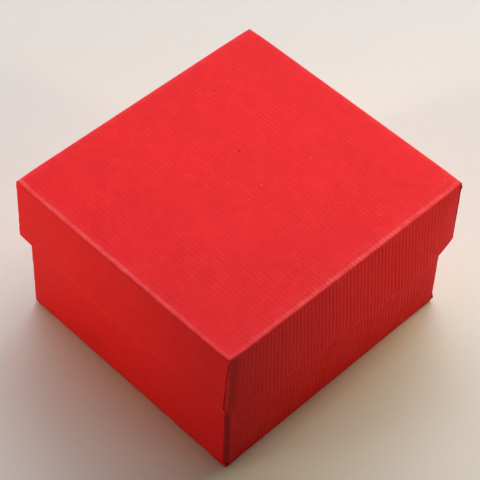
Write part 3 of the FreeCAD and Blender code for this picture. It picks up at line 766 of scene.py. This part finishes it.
def fill(obj, held_below, cap):
    """Lets the cloth swell over its filling, with its turned-under hem held still."""
    big = 10.0
    mesh = obj.data
    start = np.empty(len(mesh.vertices) * 3)
    mesh.vertices.foreach_get("co", start)
    start = start.reshape(-1, 3)
    mesh.vertices.foreach_set("co", (start * big).ravel())
    mesh.update()
    group = obj.vertex_groups.new(name="held")
    group.add([int(i) for i in np.nonzero(start[:, 2] < held_below * MM)[0]], 1.0, "REPLACE")
    cloth = obj.modifiers.new("cloth", "CLOTH")
    c = cloth.settings
    c.quality, c.mass, c.air_damping = 8, 0.3, 2.0
    c.tension_stiffness = c.compression_stiffness = c.shear_stiffness = 12.0
    c.bending_stiffness = 0.6
    c.use_pressure, c.uniform_pressure_force = True, 4.0
    c.vertex_group_mass = "held"
    c.effector_weights.gravity = 0.0
    cloth.point_cache.frame_start, cloth.point_cache.frame_end = 1, 20
    stage = bpy.context.scene
    for f in range(1, 21):
        stage.frame_set(f)
    graph = bpy.context.evaluated_depsgraph_get()
    out = np.empty(len(mesh.vertices) * 3)
    obj.evaluated_get(graph).data.vertices.foreach_get("co", out)
    move = out.reshape(-1, 3) / big - start
    size = np.linalg.norm(move, axis=1)
    top = cap * MM
    move *= (top * np.tanh(size / top) / np.maximum(size, 1e-9))[:, None]
    end = start + move
    # the box's walls stand just outside the pad
    end[:, 0] = np.clip(end[:, 0], -37.2 * MM, 37.2 * MM)
    end[:, 1] = np.clip(end[:, 1], -40.2 * MM, 40.2 * MM)
    obj.modifiers.clear()
    obj.vertex_groups.clear()
    stage.frame_set(1)
    mesh.vertices.foreach_set("co", end.ravel())
    mesh.update()
    print("cloth moved", float(size.max() * 1000), float(end[:, 2].max() * 1000))


pad_cover = pad_form("pad_cloth_cover", CLOTH, 0.0, True, 0.35, 91)
piece(pad_cover, "pad", "pad_cloth", "pad_cover")
pad_core = pad_form("pad_foam_core", FOAM, 0.6, False, 0.0, 91)
piece(pad_core, "pad", "foam", "pad_foam")
keep_node("pad_card", BOARD)

# ---------------------------------------------------------------- floor, light, camera
scene = bpy.context.scene


def floor_paint():
    p = Paint("pale_floor")
    cloud = p.noise(60.0, 3.0, 0.5)
    p.set(Base_Color=p.mix(cloud, (0.735, 0.700, 0.640), (0.765, 0.730, 0.670)), Roughness=p.span(cloud, 0.3, 0.7, 0.55, 0.62))
    p.out.inputs["Specular IOR Level"].default_value = 0.25
    return p.m


mesh = bpy.data.meshes.new("floor")
mesh.from_pydata([(-3, -3, 0), (3, -3, 0), (3, 3, 0), (-3, 3, 0)], [], [(0, 1, 2, 3)])
mesh.materials.append(floor_paint())
floor = bpy.data.objects.new("floor", mesh)
floor.location.z = -0.00002
scene.collection.objects.link(floor)


def backdrop():
    """A pale wall far round the floor, seen by the eye only, so it adds no light of its own."""
    rows = [(1.00, 0.0), (1.02, 0.01), (1.04, 0.035), (1.05, 0.08), (1.05, 0.5), (1.05, 1.4)]
    n = 96
    verts = [(r * math.cos(2 * math.pi * i / n), r * math.sin(2 * math.pi * i / n), z) for r, z in rows for i in range(n)]
    faces = [(k * n + i, k * n + (i + 1) % n, (k + 1) * n + (i + 1) % n, (k + 1) * n + i) for k in range(len(rows) - 1) for i in range(n)]
    mesh = bpy.data.meshes.new("backdrop")
    mesh.from_pydata(verts, [], faces)
    mesh.shade_smooth()
    p = Paint("pale_backdrop")
    cloud = p.noise(300.0, 2.0, 0.5)
    p.set(Base_Color=(0.0, 0.0, 0.0, 1.0), Emission_Color=p.mix(cloud, (0.62, 0.61, 0.595), (0.66, 0.65, 0.635)))
    p.out.inputs["Emission Strength"].default_value = 1.0
    p.out.inputs["Specular IOR Level"].default_value = 0.0
    mesh.materials.append(p.m)
    o = bpy.data.objects.new("backdrop", mesh)
    o.visible_diffuse = o.visible_glossy = o.visible_transmission = o.visible_shadow = o.visible_volume_scatter = False
    scene.collection.objects.link(o)


backdrop()


MIDDLE = (0.0, 0.0, 0.03)


def lamp(name, turn, rise, far, aim, size, power, colour, spread=180.0):
    """A soft light at a distance from the box, turn and rise in degrees round its middle."""
    d = bpy.data.lights.new(name, "AREA")
    d.shape, d.size, d.energy, d.color = "DISK", size, power, colour
    d.spread = math.radians(spread)
    o = bpy.data.objects.new(name, d)
    a, e = math.radians(turn), math.radians(rise)
    place = Vector(MIDDLE) + far * Vector((math.cos(e) * math.cos(a), math.cos(e) * math.sin(a), math.sin(e)))
    aim = Vector(aim)
    o.visible_camera = False
    o.location = place
    o.rotation_euler = (aim - place).to_track_quat("-Z", "Y").to_euler()
    scene.collection.objects.link(o)
    return o


LEFT, RIGHT = (-0.036, -0.044, 0.052), (0.042, 0.040, 0.050)
COOL, WARM, WARMER = (0.98, 0.98, 1.08), (1.0, 0.91, 0.48), (1.0, 0.90, 0.28)
lamp("back_soft_light_a", 100, 50, 0.85, MIDDLE, 0.70, 3.30, COOL)
lamp("back_soft_light_b", 160, 50, 0.85, MIDDLE, 0.70, 2.78, COOL)
lamp("back_soft_light_c", 130, 30, 0.85, MIDDLE, 0.70, 2.00, COOL)
lamp("overhead_soft_light", 0, 90, 0.50, MIDDLE, 0.30, 0.255, COOL)
sheen = lamp("back_sheen", 72, 40, 0.85, MIDDLE, 0.30, 5.5, COOL)
sheen.visible_diffuse = False
lamp("left_soft_light_a", -115, 15, 0.45, LEFT, 0.12, 0.011, WARM, 18)
lamp("left_soft_light_b", -115, 15, 0.45, LEFT, 0.12, 0.022, WARM, 32)
lamp("left_soft_light_c", -115, 15, 0.45, LEFT, 0.12, 0.016, WARM, 55)
lamp("right_soft_light_a", 25, 15, 0.45, RIGHT, 0.12, 0.0145, WARMER, 18)
lamp("right_soft_light_b", 76, 50, 0.45, RIGHT, 0.12, 0.029, WARMER, 55)

world = bpy.data.worlds.new("studio")
scene.world = world
world.use_nodes = True
back = world.node_tree.nodes["Background"]
back.inputs["Color"].default_value = (1.0, 0.90, 0.72, 1.0)
back.inputs["Strength"].default_value = 0.045

camera = bpy.data.cameras.new("photo_view")
camera.sensor_fit, camera.sensor_width, camera.lens = "HORIZONTAL", 36.0, 135.1697
camera.clip_start, camera.clip_end = 0.01, 20.0
eye = bpy.data.objects.new("photo_view", camera)
right = Vector((0.69980038, 0.71354139, 0.03373601))
up = Vector((-0.56160347, 0.52037421, 0.64328238))
behind = Vector((0.44145325, -0.46911551, 0.76488539))
turn = Matrix((right, up, behind)).transposed().to_4x4()
eye.matrix_world = Matrix.Translation((0.222972, -0.235879, 0.412917)) @ turn
scene.collection.objects.link(eye)
scene.camera = eye
scene.view_settings.view_transform = "Standard"
scene.view_settings.look = "None"
